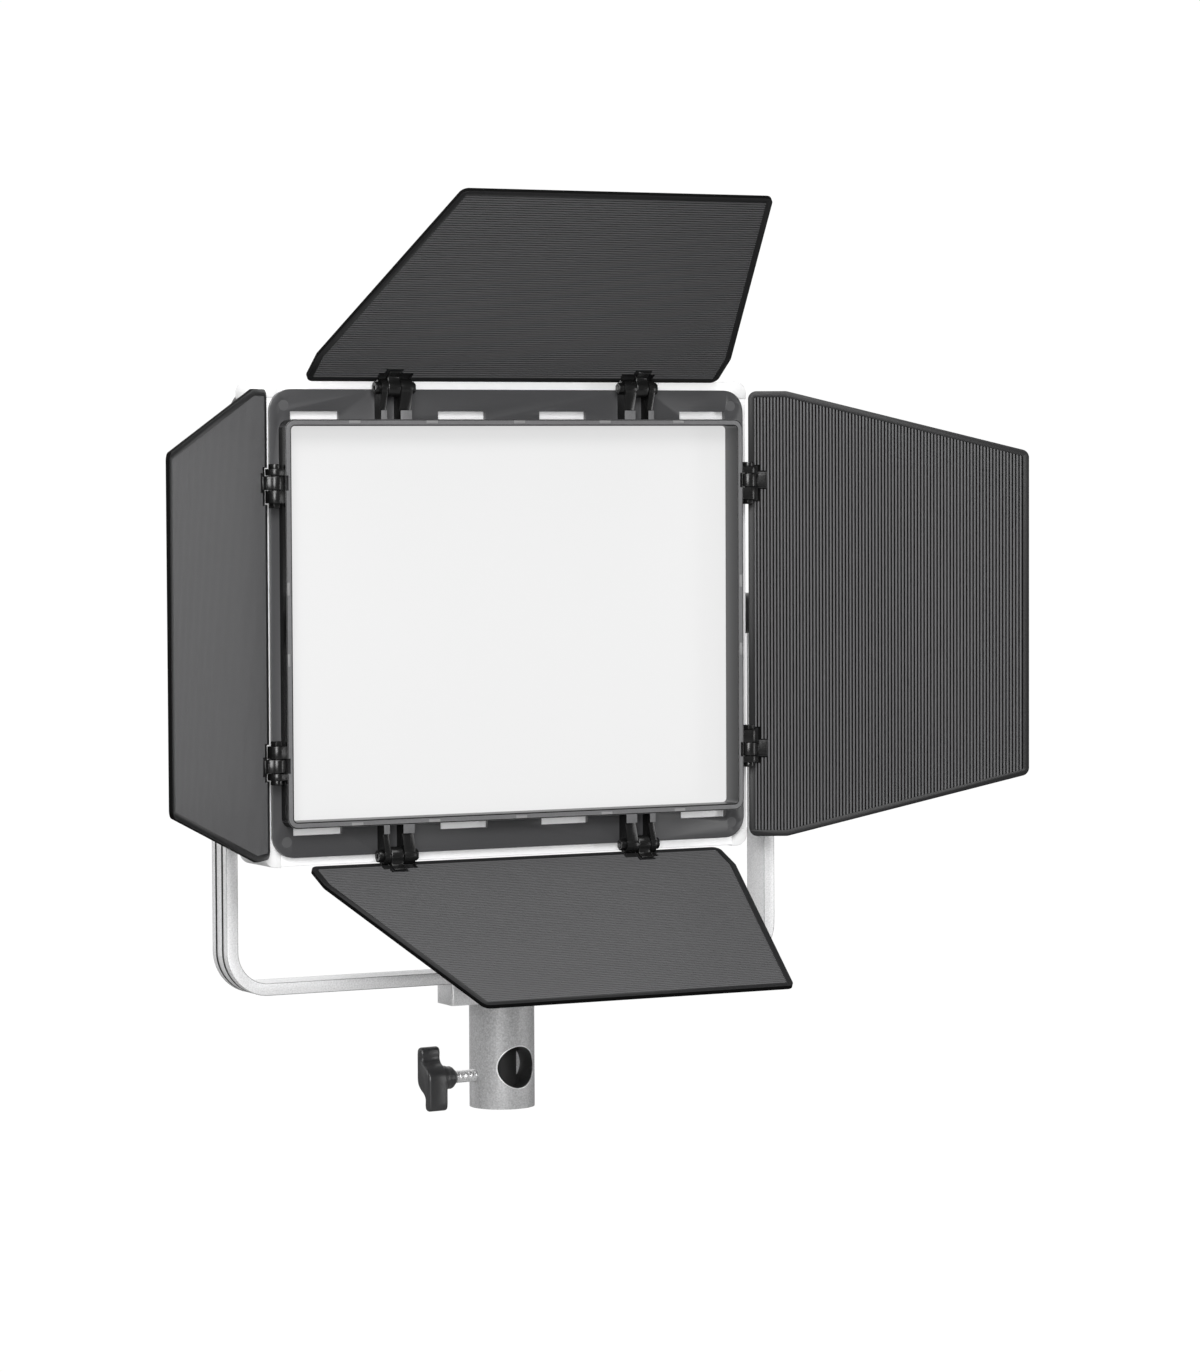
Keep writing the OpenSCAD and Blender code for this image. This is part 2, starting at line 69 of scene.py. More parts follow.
bpy.context.scene.collection.objects.link(camera)
bpy.context.scene.camera = camera
bpy.context.scene.view_settings.view_transform = "Standard"

floor_drop, floor_reach = 0.55, 12.0
bm = bmesh.new()
bmesh.ops.create_circle(bm, cap_ends=True, segments=96, radius=floor_reach)
bmesh.ops.translate(bm, verts=bm.verts, vec=(0, 0, -floor_drop))
floor_mesh = bpy.data.meshes.new("studio_floor")
bm.to_mesh(floor_mesh)
bm.free()
floor = bpy.data.objects.new("studio_floor", floor_mesh)
bpy.context.scene.collection.objects.link(floor)
floor_paint = bpy.data.materials.new("floor_paper")
floor_paint.use_nodes = True
nodes, links = floor_paint.node_tree.nodes, floor_paint.node_tree.links
nodes.clear()
seen = nodes.new("ShaderNodeLightPath")
glow = nodes.new("ShaderNodeEmission")
glow.inputs["Color"].default_value = (1, 1, 1, 1)
glow.inputs["Strength"].default_value = 1.02
paper = nodes.new("ShaderNodeBsdfDiffuse")
paper.inputs["Color"].default_value = (0.28, 0.28, 0.28, 1)
pick = nodes.new("ShaderNodeMixShader")
out = nodes.new("ShaderNodeOutputMaterial")
links.new(seen.outputs["Is Camera Ray"], pick.inputs["Fac"])
links.new(paper.outputs["BSDF"], pick.inputs[1])
links.new(glow.outputs["Emission"], pick.inputs[2])
links.new(pick.outputs["Shader"], out.inputs["Surface"])
floor_mesh.materials.append(floor_paint)

room = bpy.data.worlds.new("white_room")
room.use_nodes = True
bpy.context.scene.world = room
nodes, links = room.node_tree.nodes, room.node_tree.links
nodes.clear()
seen = nodes.new("ShaderNodeLightPath")
where = nodes.new("ShaderNodeTexCoord")
split = nodes.new("ShaderNodeSeparateXYZ")
ramp = nodes.new("ShaderNodeValToRGB")
for stop, position, grey in zip(ramp.color_ramp.elements, (0.52, 0.72), (0.14, 0.95)):
    stop.position, stop.color = position, (grey, grey, grey, 1)
shift = nodes.new("ShaderNodeMath")
shift.operation = "MULTIPLY_ADD"
shift.inputs[1].default_value, shift.inputs[2].default_value = 0.5, 0.5
light_air = nodes.new("ShaderNodeBackground")
light_air.inputs["Strength"].default_value = 1.0
white_air = nodes.new("ShaderNodeBackground")
white_air.inputs["Color"].default_value = (1, 1, 1, 1)
white_air.inputs["Strength"].default_value = 1.02
pick = nodes.new("ShaderNodeMixShader")
out = nodes.new("ShaderNodeOutputWorld")
links.new(where.outputs["Generated"], split.inputs[0])
links.new(split.outputs["Y"], shift.inputs[0])
links.new(shift.outputs[0], ramp.inputs["Fac"])
links.new(ramp.outputs["Color"], light_air.inputs["Color"])
links.new(seen.outputs["Is Camera Ray"], pick.inputs["Fac"])
links.new(light_air.outputs[0], pick.inputs[1])
links.new(white_air.outputs[0], pick.inputs[2])
links.new(pick.outputs[0], out.inputs["Surface"])


def soft_box(name, place, target, size, power):
    lamp = bpy.data.lights.new(name, "AREA")
    lamp.shape, lamp.size, lamp.size_y, lamp.energy = "RECTANGLE", size[0], size[1], power
    holder = bpy.data.objects.new(name, lamp)
    holder.location = place
    holder.rotation_euler = (Vector(target) - Vector(place)).to_track_quat("-Z", "Y").to_euler()
    holder.visible_camera = False
    bpy.context.scene.collection.objects.link(holder)


soft_box("camera_box", (-1.03, -1.97, 0.44), head_centre, (0.8, 0.8), 22)
soft_box("high_box", (-0.8, -1.7, 1.35), head_centre, (1.2, 0.8), 36)
soft_box("overhead_box", (0.15, -1.2, 1.95), head_centre, (1.6, 1.0), 16)
soft_box("right_box", (1.7, -1.3, 0.1), (0, 0, 0.05), (0.5, 0.9), 6)
soft_box("left_box", (-1.7, 0.1, 1.35), head_centre, (1.0, 1.4), 20)

# ---- yoke ----
# Flat aluminium bar bent to a U, with two grooves rolled along its outside.
# Bead-blasted and clear anodised, so it is pale with a fine sparkle.


def shader_group(name, inputs, outputs):
    """A node group for shaders with value or colour sockets."""
    group = bpy.data.node_groups.new(name, "ShaderNodeTree")
    for label, kind, value in inputs:
        socket = group.interface.new_socket(label, in_out="INPUT", socket_type=kind)
        socket.default_value = value
    for label, kind in outputs:
        group.interface.new_socket(label, in_out="OUTPUT", socket_type=kind)
    return group, group.nodes.new("NodeGroupInput"), group.nodes.new("NodeGroupOutput")


def calc(tree, operation, *values):
    """A Math node; each value is a number or the socket that feeds it."""
    node = tree.nodes.new("ShaderNodeMath")
    node.operation = operation
    for socket, value in zip(node.inputs, values):
        if isinstance(value, bpy.types.NodeSocket):
            tree.links.new(value, socket)
        else:
            socket.default_value = value
    return node.outputs[0]


def speckle_group():
    """Fine grain and slow tone drift: colour, roughness and a height."""
    group, given, result = shader_group(
        "speckled_surface",
        [("Colour", "NodeSocketColor", (0.5, 0.5, 0.5, 1)), ("Spread", "NodeSocketFloat", 0.1),
         ("Drift", "NodeSocketFloat", 0.05), ("Grain per metre", "NodeSocketFloat", 2000.0),
         ("Roughness", "NodeSocketFloat", 0.5), ("Roughness spread", "NodeSocketFloat", 0.1)],
        [("Colour", "NodeSocketColor"), ("Roughness", "NodeSocketFloat"), ("Height", "NodeSocketFloat")])
    n, l = group.nodes, group.links
    where = n.new("ShaderNodeTexCoord")
    fine = n.new("ShaderNodeTexNoise")
    fine.inputs["Detail"].default_value = 2.0
    fine.inputs["Roughness"].default_value = 0.65
    slow = n.new("ShaderNodeTexNoise")
    slow.inputs["Scale"].default_value = 14.0
    slow.inputs["Detail"].default_value = 4.0
    l.new(where.outputs["Object"], fine.inputs["Vector"])
    l.new(where.outputs["Object"], slow.inputs["Vector"])
    l.new(given.outputs["Grain per metre"], fine.inputs["Scale"])

    def centred(source, spread):
        """(source - 0.5) * 2 * spread"""
        scaled = calc(group, "MULTIPLY", calc(group, "SUBTRACT", source, 0.5), spread)
        return calc(group, "MULTIPLY", scaled, 2.0)

    both = calc(group, "ADD", centred(fine.outputs["Fac"], given.outputs["Spread"]),
                centred(slow.outputs["Fac"], given.outputs["Drift"]))
    tint = n.new("ShaderNodeVectorMath")
    tint.operation = "SCALE"
    l.new(given.outputs["Colour"], tint.inputs[0])
    l.new(calc(group, "ADD", both, 1.0), tint.inputs["Scale"])
    l.new(tint.outputs["Vector"], result.inputs["Colour"])
    rough = calc(group, "ADD", centred(slow.outputs["Fac"], given.outputs["Roughness spread"]),
                 given.outputs["Roughness"])
    l.new(rough, result.inputs["Roughness"])
    l.new(fine.outputs["Fac"], result.inputs["Height"])
    return group


speckled = speckle_group()


def finish(name, colour, roughness, grain, spread=0.08, drift=0.05, relief=0.00002, strength=0.4,
           roughness_spread=0.06, **sockets):
    """A material with grain from the speckled group; sockets are Principled inputs set plainly."""
    made = bpy.data.materials.new(name)
    made.use_nodes = True
    n, l = made.node_tree.nodes, made.node_tree.links
    skin = n["Principled BSDF"]
    grains = n.new("ShaderNodeGroup")
    grains.node_tree = speckled
    grains.inputs["Colour"].default_value = (*colour, 1)
    grains.inputs["Spread"].default_value = spread
    grains.inputs["Drift"].default_value = drift
    grains.inputs["Grain per metre"].default_value = grain
    grains.inputs["Roughness"].default_value = roughness
    grains.inputs["Roughness spread"].default_value = roughness_spread
    relief_node = n.new("ShaderNodeBump")
    relief_node.inputs["Distance"].default_value = relief
    relief_node.inputs["Strength"].default_value = strength
    l.new(grains.outputs["Colour"], skin.inputs["Base Color"])
    l.new(grains.outputs["Roughness"], skin.inputs["Roughness"])
    l.new(grains.outputs["Height"], relief_node.inputs["Height"])
    l.new(relief_node.outputs["Normal"], skin.inputs["Normal"])
    for label, value in sockets.items():
        skin.inputs[label.replace("_", " ")].default_value = value
    return made


def smooth_by_angle(mesh, angle):
    for face in mesh.polygons:
        face.use_smooth = True
    mesh.set_sharp_from_angle(angle=math.radians(angle))


def joined_copy(node):
    """A merged bmesh of a CAD node, with its flat faces made whole."""
    bm = bmesh.new()
    bm.from_mesh(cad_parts[node].data)
    bmesh.ops.remove_doubles(bm, verts=bm.verts, dist=2e-6)
    bmesh.ops.dissolve_limit(bm, angle_limit=math.radians(0.6), verts=bm.verts, edges=bm.edges)
    return bm


def placed(name, bm, material):
    """Puts a finished bmesh in the scene as an object of one material."""
    mesh = bpy.data.meshes.new(name)
    bm.to_mesh(mesh)
    bm.free()
    mesh.materials.clear()
    mesh.materials.append(material)
    for face in mesh.polygons:
        face.material_index = 0
    piece = bpy.data.objects.new(name, mesh)
    bpy.context.scene.collection.objects.link(piece)
    return piece


def baked(piece):
    """The plain mesh that an object's modifiers make."""
    settled = piece.evaluated_get(bpy.context.evaluated_depsgraph_get())
    mesh = bpy.data.meshes.new_from_object(settled)
    old = piece.data
    piece.modifiers.clear()
    piece.data = mesh
    mesh.name = piece.name
    bpy.data.meshes.remove(old)
    return piece


def eased(name, node, material, body, radius, segments=2, smooth=35):
    """A CAD node's shape with its sharp edges rounded off, as tumbling or a mould leaves them."""
    piece = placed(name, joined_copy(node), material)
    rounding = piece.modifiers.new("rounding", "BEVEL")
    rounding.width, rounding.segments = radius, segments
    rounding.limit_method, rounding.angle_limit = "ANGLE", math.radians(30)
    rounding.use_clamp_overlap = True
    rounding.harden_normals = False
    baked(piece)
    smooth_by_angle(piece.data, smooth)
    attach(piece, body)
    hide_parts(node)
    return piece


def repaint(piece, material, chosen):
    """Gives the faces that chosen(face) picks another material."""
    piece.data.materials.append(material)
    last = len(piece.data.materials) - 1
    for face in piece.data.polygons:
        if chosen(face):
            face.material_index = last


mm = 0.001
tilt_height = head_centre.z
groove_near, groove_far, groove_stop = 2.55 * mm, 4.85 * mm, 15.5 * mm
blasted_silver = finish("blasted_silver", (0.88, 0.88, 0.885), 0.48, 1400, spread=0.34, drift=0.02,
                        relief=0.00004, strength=0.5, Metallic=0.55)
groove_shadow = finish("groove_shadow", (0.035, 0.035, 0.035), 0.6, 2200, Specular_IOR_Level=0.1)
bar = eased("yoke_bar", "yoke_bracket", blasted_silver, "yoke", 0.0005)
repaint(bar, groove_shadow, lambda face: groove_near < abs(face.center.y) < groove_far
        and face.center.z < tilt_height - groove_stop)
# Painted shade: thin dark beads along the bar's edges stand in for the rounded edges looking dark.
painted_edge_shade = finish("painted_edge_shade", (0.22, 0.22, 0.22), 0.4, 2200, Metallic=0.6)
yoke_half, yoke_drop, yoke_bend, bar_thick = 146 * mm, 173.5 * mm, 21 * mm, 5.8 * mm


def round_bead(name, path, radius, closed, material, body):
    """An eight-sided bead along a path of (place, outward direction) in planes across the light."""
    bm = bmesh.new()
    rows = [[bm.verts.new(at + out * radius * math.cos(b) + Vector((0, radius * math.sin(b), 0)))
             for b in (math.radians(45 * k) for k in range(8))] for at, out in path]
    for row, following in zip(rows, rows[1:] + (rows[:1] if closed else [])):
        for k in range(8):
            bm.faces.new((row[k], row[(k + 1) % 8], following[(k + 1) % 8], following[k]))
    if not closed:
        bm.faces.new(rows[0])
        bm.faces.new(rows[-1])
    bmesh.ops.recalc_face_normals(bm, faces=bm.faces)
    bead = placed(name, bm, material)
    smooth_by_angle(bead.data, 60)
    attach(bead, body)


def u_bead(name, inset, depth, radius):
    """A thin dark line of painted edge shade down one leg of the yoke, round its bends, and up the other
    leg.
    """
    half, bend = yoke_half - inset, yoke_bend - inset
    corner = (yoke_half - yoke_bend, tilt_height - yoke_drop + yoke_bend)
    path = [(Vector((half, depth, tilt_height)), Vector((1, 0, 0)))]
    for i in range(17):
        a = math.radians(90 * i / 16)
        out = Vector((math.cos(a), 0, -math.sin(a)))
        path.append((Vector((corner[0], depth, corner[1])) + out * bend, out))
    path += [(Vector((-at.x, at.y, at.z)), Vector((-out.x, 0, out.z))) for at, out in reversed(path)]
    round_bead(name, path, radius, False, painted_edge_shade, "yoke")


line_depth, line_inset, line_radius = 8.3 * mm, 0.2 * mm, 0.24 * mm
for word, depth in (("front", -line_depth), ("rear", line_depth)):
    u_bead(f"yoke_{word}_outer_line", line_inset, depth, line_radius)
    u_bead(f"yoke_{word}_inner_line", bar_thick - line_inset, depth, line_radius)
eased("yoke_block", "mounting_block", blasted_silver, "yoke", 0.0006)
black_steel = finish("black_steel", (0.035, 0.035, 0.035), 0.38, 3000, spread=0.1, Metallic=1.0)
eased("block_screws", "block_bolts", black_steel, "yoke", 0.0003)

# ---- stand receiver ----
# Turned aluminium tube with a round window to see the spigot through.
# Blasted coarser than the yoke; the chamfer round the window is a thin, nearly flush strip painted bright
# as a highlight.
receiver_skin = finish("receiver_skin", (0.60, 0.60, 0.605), 0.58, 1200, spread=0.5, drift=0.08,
                       relief=0.00012, strength=0.8, Metallic=0.55)
# Painted highlight: the window's chamfer is a bright strip, not a sloped face catching the light.
chamfer_painted_highlight = finish("chamfer_painted_highlight", (0.95, 0.95, 0.95), 0.35, 3000, Metallic=0.4)
bore_painted_shade = finish("bore_painted_shade", (0.10, 0.10, 0.10), 0.45, 2500, Metallic=0.7)
tube_radius, bore_radius, window_height, window_radius = 15.7 * mm, 8.1 * mm, 20 * mm, 10 * mm
receiver_turn = math.radians(5.5)
tube = eased("receiver_tube", "stand_receiver", receiver_skin, "yoke", 0.0006, segments=3)


def tube_reach(face):
    return math.hypot(face.center.x, face.center.y)


def in_window_wall(face):
    """The wall of the round window through the tube's front."""
    at = Matrix.Rotation(-receiver_turn, 3, "Z") @ face.center
    ring = math.hypot(at.x, at.z - window_height)
    return (abs(ring - window_radius) < 0.08 * mm and at.y < -2 * mm
            and tube_reach(face) < tube_radius - 0.1 * mm)


# Painted shade: the bore and the window's wall are coloured dark, as shade inside the tube.
repaint(tube, bore_painted_shade, lambda face: tube_reach(face) < bore_radius + 0.3 * mm and face.normal.z > -0.7)
repaint(tube, bore_painted_shade, in_window_wall)
# the chamfer's painted highlight: a section (ring radius, height over the tube) carried round the window
cut_section = [(9.99 * mm, -0.5 * mm), (9.99 * mm, 0.0), (10.1 * mm, 0.04 * mm), (10.4 * mm, 0.03 * mm),
               (10.55 * mm, -0.05 * mm)]
bm = bmesh.new()
rings, steps = [], 120
for i in range(steps):
    a = 2 * math.pi * i / steps
    row = []
    for reach, height in cut_section:
        x = reach * math.cos(a)
        y = -math.sqrt((tube_radius + height) ** 2 - x * x)
        row.append(bm.verts.new(Matrix.Rotation(receiver_turn, 3, "Z")
                                @ Vector((x, y, window_height + reach * math.sin(a)))))
    rings.append(row)
for i in range(steps):
    low, high = rings[i], rings[(i + 1) % steps]
    for k in range(len(cut_section)):
        following = (k + 1) % len(cut_section)
        bm.faces.new((low[k], low[following], high[following], high[k]))
bmesh.ops.recalc_face_normals(bm, faces=bm.faces)
window_edge = placed("window_edge", bm, chamfer_painted_highlight)
smooth_by_angle(window_edge.data, 50)
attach(window_edge, "yoke")

# ---- clamp screw ----
# A zinc-plated M6 steel stud that is moulded into the handle and runs in the tube's wall.
# It is a core with the thread's ridge wound round it, one turn a millimetre.
clamp_height = 15.7 * mm
clamp_place = (Matrix.Rotation(receiver_turn, 4, "Z") @ Matrix.Translation((0, 0, clamp_height))
               @ Matrix.Rotation(math.radians(-90), 4, "Y"))


def tree_input(tree, label, kind, value=None):
    socket = tree.interface.new_socket(label, in_out="INPUT", socket_type=kind)
    if value is not None:
        socket.default_value = value
    return socket.identifier


def close_tree(tree, shape, given, result):
    """Ends a tree with Realize Instances and Set Material."""
    real = tree.nodes.new("GeometryNodeRealizeInstances")
    paint = tree.nodes.new("GeometryNodeSetMaterial")
    tree.links.new(shape, real.inputs[0])
    tree.links.new(real.outputs[0], paint.inputs["Geometry"])
    tree.links.new(given.outputs["Material"], paint.inputs["Material"])
    tree.links.new(paint.outputs[0], result.inputs[0])


def grown(name, tree, values, place):
    """A new object whose mesh a node tree makes; values are by socket identifier."""
    piece = bpy.data.objects.new(name, bpy.data.meshes.new(name))
    bpy.context.scene.collection.objects.link(piece)
    maker = piece.modifiers.new("maker", "NODES")
    maker.node_group = tree
    for identifier, value in values.items():
        maker[identifier] = value
    baked(piece)
    piece.data.transform(place)
    return piece


def thread_tree():
    tree = bpy.data.node_groups.new("wound_thread", "GeometryNodeTree")
    ids = {label: tree_input(tree, label, "NodeSocketFloat", value) for label, value in
           (("Length", 0.02), ("Pitch", 0.001), ("Core radius", 0.0026), ("Crest radius", 0.003))}
    ids["Material"] = tree_input(tree, "Material", "NodeSocketMaterial")
    tree.interface.new_socket("Screw", in_out="OUTPUT", socket_type="NodeSocketGeometry")
    n, l = tree.nodes, tree.links
    given, result = n.new("NodeGroupInput"), n.new("NodeGroupOutput")
    turns = calc(tree, "DIVIDE", given.outputs["Length"], given.outputs["Pitch"])
    coil = n.new("GeometryNodeCurveSpiral")
    coil.inputs["Resolution"].default_value = 28
    l.new(turns, coil.inputs["Rotations"])
    l.new(given.outputs["Core radius"], coil.inputs["Start Radius"])
    l.new(given.outputs["Core radius"], coil.inputs["End Radius"])
    l.new(given.outputs["Length"], coil.inputs["Height"])
    depth = calc(tree, "SUBTRACT", given.outputs["Crest radius"], given.outputs["Core radius"])
    ridge = n.new("GeometryNodeCurvePrimitiveCircle")
    ridge.inputs["Resolution"].default_value = 6
    l.new(depth, ridge.inputs["Radius"])
    wound = n.new("GeometryNodeCurveToMesh")
    wound.inputs["Fill Caps"].default_value = True
    l.new(coil.outputs["Curve"], wound.inputs["Curve"])
    l.new(ridge.outputs["Curve"], wound.inputs["Profile Curve"])
    core = n.new("GeometryNodeMeshCylinder")
    core.inputs["Vertices"].default_value = 48
    l.new(given.outputs["Core radius"], core.inputs["Radius"])
    l.new(given.outputs["Length"], core.inputs["Depth"])
    raised = n.new("ShaderNodeCombineXYZ")
    l.new(calc(tree, "MULTIPLY", given.outputs["Length"], 0.5), raised.inputs["Z"])
    shifted = n.new("GeometryNodeTransform")
    l.new(core.outputs["Mesh"], shifted.inputs["Geometry"])
    l.new(raised.outputs[0], shifted.inputs["Translation"])
    join = n.new("GeometryNodeJoinGeometry")
    l.new(shifted.outputs[0], join.inputs[0])
    l.new(wound.outputs["Mesh"], join.inputs[0])
    close_tree(tree, join.outputs[0], given, result)
    return tree, ids


bright_steel = finish("bright_steel", (0.88, 0.88, 0.88), 0.3, 1800, spread=0.05, Metallic=0.7)
screw_start, screw_end = 10.6 * mm, 31.5 * mm
wound_thread, thread_ids = thread_tree()
screw = grown("clamp_stud", wound_thread,
              {thread_ids["Length"]: screw_end - screw_start, thread_ids["Pitch"]: 1.0 * mm,
               thread_ids["Core radius"]: 2.68 * mm, thread_ids["Crest radius"]: 2.99 * mm,
               thread_ids["Material"]: bright_steel},
              clamp_place @ Matrix.Translation((0, 0, screw_start)))
smooth_by_angle(screw.data, 50)
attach(screw, "clamp")
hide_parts("clamp_screw")

# ---- clamp handle ----
# Moulded nylon T-handle: one wing sits back and the other forward, with a smooth
# waist between them, and a collar where the steel stud is moulded in.
handle_outer, handle_inner = 44.2 * mm, 33.6 * mm
edge_round = 1.5 * mm
half_outline = [(1.3, 9.3), (1.25, 12.2), (1.9, 14.3), (3.6, 15.0), (5.3, 14.3), (5.9, 12.2), (5.95, 8.0),
                (5.95, 3.0), (5.9, -0.6), (5.0, -3.4), (2.6, -5.8), (0.0, -7.4)]


def through_points(points, steps):
    """A smooth closed line through points (Catmull-Rom)."""
    line, count = [], len(points)
    for i in range(count):
        a, b, c, d = (Vector(points[(i + k) % count]) for k in (-1, 0, 1, 2))
        for k in range(steps):
            t = k / steps
            line.append(0.5 * (2 * b + (c - a) * t + (2 * a - 5 * b + 4 * c - d) * t ** 2
                               + (3 * b - a - 3 * c + d) * t ** 3))
    return line


def lathe(bm, profile, steps=64):
    """Turns (radius, height) points round Z into a closed solid whose ends are on the axis."""
    rings = []
    for radius, height in profile:
        if radius == 0:
            rings.append([bm.verts.new((0, 0, height))])
        else:
            rings.append([bm.verts.new((radius * math.cos(a), radius * math.sin(a), height))
                          for a in (2 * math.pi * i / steps for i in range(steps))])
    for low, high in zip(rings, rings[1:]):
        for i in range(steps):
            j = (i + 1) % steps
            corners = [low[i % len(low)], low[j % len(low)], high[j % len(high)], high[i % len(high)]]
            unique = list(dict.fromkeys(corners))
            if len(unique) > 2:
                bm.faces.new(unique)


outline = through_points([(y * mm, z * mm) for y, z in half_outline]
                         + [(-y * mm, -z * mm) for y, z in half_outline], 5)
bm = bmesh.new()
# (distance from the tube's axis, how far the outline is drawn in there)
levels = [(handle_inner, edge_round * 0.55), (handle_inner + 0.25 * edge_round, 0.2 * edge_round),
          (handle_inner + 0.7 * edge_round, 0.0), (handle_outer - edge_round, 0.0),
          (handle_outer - 0.5 * edge_round, 0.14 * edge_round),
          (handle_outer - 0.14 * edge_round, 0.5 * edge_round), (handle_outer, edge_round)]
count = len(outline)
inward = []
for i in range(count):
    along = (outline[(i + 1) % count] - outline[i - 1]).normalized()
    inward.append(Vector((along.y, -along.x)))
if sum((outline[i].x * outline[(i + 1) % count].y - outline[(i + 1) % count].x * outline[i].y)
       for i in range(count)) > 0:
    inward = [-v for v in inward]
rings = [[bm.verts.new((outline[i].y + inward[i].y * inset, outline[i].x + inward[i].x * inset, level))
          for i in range(count)] for level, inset in levels]
for low, high in zip(rings, rings[1:]):
    for i in range(count):
        bm.faces.new((low[i], low[(i + 1) % count], high[(i + 1) % count], high[i]))
bm.faces.new(rings[0])
bm.faces.new(rings[-1])
collar = [(0, 35.0), (6.0, 34.6), (6.0, 33.0), (5.75, 31.9), (5.45, 31.3), (5.45, 29.6), (5.1, 28.8),
          (4.2, 27.9), (3.75, 27.3), (3.5, 27.05), (0, 27.05)]
lathe(bm, [(r * mm, h * mm) for r, h in collar])
bmesh.ops.recalc_face_normals(bm, faces=bm.faces)
satin_black = finish("satin_black", (0.036, 0.036, 0.037), 0.34, 3200, spread=0.2, relief=0.00003,
                     strength=0.5, roughness_spread=0.08)
bm.transform(clamp_place)
handle = placed("clamp_wing", bm, satin_black)
smooth_by_angle(handle.data, 40)
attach(handle, "clamp")
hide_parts("clamp_handle")


def recoat(node, material):
    """A CAD node that keeps its shape gets a finished material."""
    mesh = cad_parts[node].data
    mesh.materials.clear()
    mesh.materials.append(material)
    for face in mesh.polygons:
        face.material_index = 0


natural_nylon = finish("natural_nylon", (0.8, 0.78, 0.72), 0.5, 2500)
recoat("clamp_pad", natural_nylon)

# ---- tilt knobs ----
# Six-lobed nylon knobs moulded on M8 steel studs, which screw into the head through the yoke's
# arms. Black rubber friction washers and nylon spacers fill the gap on the inside.
rubber = finish("black_rubber", (0.02, 0.02, 0.02), 0.75, 1500, spread=0.2, relief=0.00005)
recoat("friction_washers", rubber)
eased("left_knob", "tilt_knob_left", satin_black, "left_tilt_lock", 0.0014, segments=4)
eased("right_knob", "tilt_knob_right", satin_black, "right_tilt_lock", 0.0014, segments=4)
for node in ("tilt_stud_left", "tilt_stud_right"):
    recoat(node, bright_steel)
eased("arm_spacers", "pivot_spacers", satin_black, "head", 0.0004)

# ---- head body ----
# Extruded aluminium rails, anodised a pale silver, are joined by light grey moulded corner
# pieces and screws. The rails' front lips are painted light: they glow a little, though they are no lamp.
rail_silver = finish("rail_silver", (0.86, 0.86, 0.865), 0.34, 3000, spread=0.05, drift=0.02, Metallic=0.35)
lip_painted_glow = finish("lip_painted_glow", (0.92, 0.92, 0.925), 0.4, 3000, spread=0.05, drift=0.02, Metallic=0.2)
# Painted light: a faint glow on the rails' front lips.
lip_glow_paint = lip_painted_glow.node_tree.nodes["Principled BSDF"]
lip_glow_paint.inputs["Emission Color"].default_value = (1, 1, 1, 1)
lip_glow_paint.inputs["Emission Strength"].default_value = 0.12
for node in ("rail_top", "rail_bottom", "rail_left", "rail_right"):
    rail = eased("body_" + node, node, rail_silver, "head", 0.0003)
    repaint(rail, lip_painted_glow, lambda face: face.normal.y < -0.95 and face.center.y < head_centre.y + 6 * mm)
cap_plastic = finish("cap_plastic", (0.76, 0.76, 0.76), 0.42, 2500, spread=0.04)
eased("body_corners", "corner_caps", cap_plastic, "head", 0.0003)
dark_metal = finish("dark_metal", (0.42, 0.42, 0.43), 0.4, 2500, Metallic=1.0)
for node in ("pivot_bosses", "heat_sink", "encoders"):
    recoat(node, dark_metal)
for node in ("corner_screws", "cover_screws"):
    recoat(node, black_steel)

# ---- light engine ----
# LEDs on a white board inside a white mixing box, under an opal acrylic sheet. The
# sheet glows evenly, with the LED grid only just to be guessed at.
matt_white = finish("matt_white", (0.85, 0.85, 0.85), 0.6, 2000, spread=0.03)
for node in ("led_board", "light_box"):
    recoat(node, matt_white)
recoat("led_chips", finish("phosphor", (0.85, 0.65, 0.2), 0.35, 3000))
recoat("driver_board", finish("solder_mask", (0.03, 0.13, 0.05), 0.35, 1200, spread=0.2))
recoat("driver_parts", satin_black)
recoat("diffuser_gasket", rubber)
opal = finish("opal_sheet", (0.20, 0.20, 0.20), 0.45, 900, spread=0.006, drift=0.004, relief=0.00001,
              strength=0.15)
lit = opal.node_tree.nodes["Principled BSDF"]
lit.inputs["Emission Color"].default_value = (1, 1, 1, 1)
lit.inputs["Emission Strength"].default_value = 0.60
recoat("diffuser", opal)

# ---- door frame ----
# One smoky black moulding: flange, raised rim, sixteen hinge ears. The rim's face and the
# flats beside the ears are lightly textured, the ears polished.
frame_plastic = finish("frame_plastic", (0.048, 0.048, 0.050), 0.32, 2400, spread=0.08, drift=0.10,
                       relief=0.00001)
lip_plastic = finish("lip_plastic", (0.13, 0.13, 0.133), 0.42, 1500, spread=0.25, drift=0.1)
gloss_black_and_painted_shade = finish("gloss_black_and_painted_shade", (0.006, 0.006, 0.006), 0.24, 2500, spread=0.1, relief=0.00001)
rim_front = head_centre.y - 7.6 * mm
rim_out, light_half = (120.8 * mm, 94.9 * mm), (117.8 * mm, 91.9 * mm)
moulding = eased("frame_moulding", "door_frame", frame_plastic, "head", 0.0005)
hinge_at = 65.5 * mm


def on_ear(face):
    c = face.center - head_centre
    across = abs(c.x) > rim_out[0] + 0.1 * mm and -11 * mm < abs(c.z) - hinge_at < 8 * mm
    upright = abs(c.z) > rim_out[1] + 0.1 * mm and -11 * mm < abs(c.x) - hinge_at < 8 * mm
    return (across or upright) and c.y < -0.1 * mm


